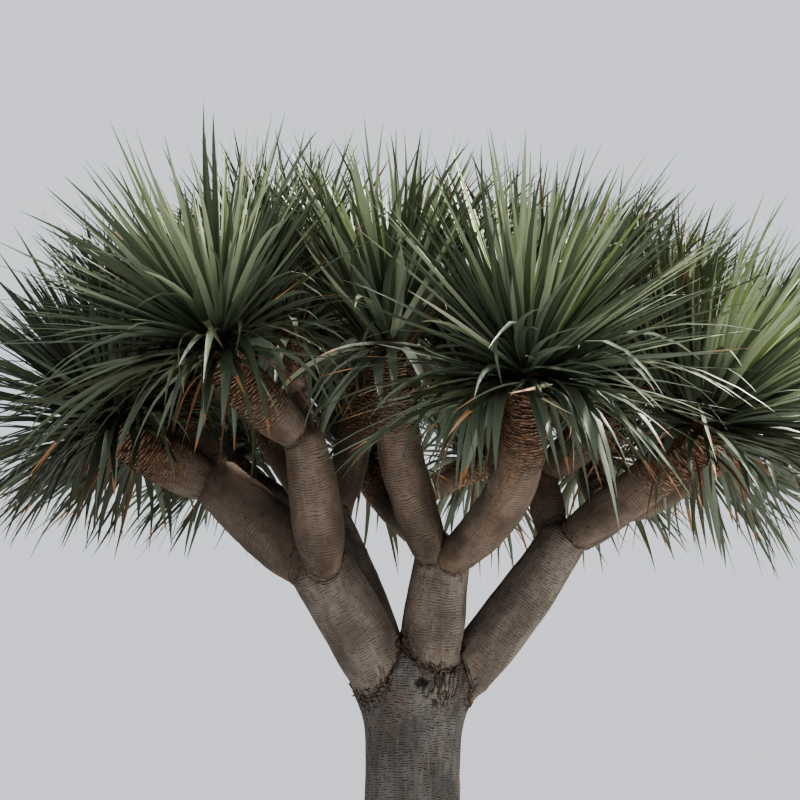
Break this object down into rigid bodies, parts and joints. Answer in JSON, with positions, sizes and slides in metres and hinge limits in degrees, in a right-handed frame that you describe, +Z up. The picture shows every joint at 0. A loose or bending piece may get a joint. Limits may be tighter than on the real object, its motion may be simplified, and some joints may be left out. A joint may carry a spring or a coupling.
{
  "type": "dragon tree",
  "caption": "Dragon tree rooted in the ground, with one thick trunk, sausage-like forking limbs and an umbrella crown of sword-leaved rosettes.",
  "frame": {"origin": "middle of the flat cut under the trunk, at ground level", "axes": "+Z up along the trunk, +X to the right and +Y away, seen from the front"},
  "size_m": [3.8748, 3.5444, 3.9801],
  "materials": {
    "trunk_bark": "matte",
    "limb_bark": "matte",
    "leaf": "satin"
  },
  "bodies": {
    "root": {"trunk": "trunk_bark", "bough_back": "limb_bark", "bough_left": "limb_bark", "bough_left_back": "limb_bark", "bough_middle": "limb_bark", "bough_right": "limb_bark", "fork_left": "limb_bark", "fork_left_front": "limb_bark", "fork_right": "limb_bark", "fork_right_back": "limb_bark", "limb_back_end": "limb_bark", "limb_back_inner": "limb_bark", "limb_back_left": "limb_bark", "limb_back_mid": "limb_bark", "limb_back_right": "limb_bark", "limb_crown_left": "limb_bark", "limb_crown_mid": "limb_bark", "limb_front_left": "limb_bark", "limb_front_right": "limb_bark", "limb_left_end": "limb_bark", "limb_left_front": "limb_bark", "limb_left_high": "limb_bark", "limb_left_inner": "limb_bark", "limb_left_low": "limb_bark", "limb_mid_left": "limb_bark", "limb_right_back": "limb_bark", "limb_right_end": "limb_bark", "limb_right_high": "limb_bark", "limb_right_inner": "limb_bark", "limb_right_low": "limb_bark", "rosette_back_end": "leaf", "rosette_back_inner": "leaf", "rosette_back_left": "leaf", "rosette_back_mid": "leaf", "rosette_back_right": "leaf", "rosette_crown_left": "leaf", "rosette_crown_mid": "leaf", "rosette_front_left": "leaf", "rosette_front_right": "leaf", "rosette_left_end": "leaf", "rosette_left_front": "leaf", "rosette_left_high": "leaf", "rosette_left_inner": "leaf", "rosette_left_low": "leaf", "rosette_mid_left": "leaf", "rosette_right_back": "leaf", "rosette_right_end": "leaf", "rosette_right_high": "leaf", "rosette_right_inner": "leaf", "rosette_right_low": "leaf"}
  },
  "joints": []
}
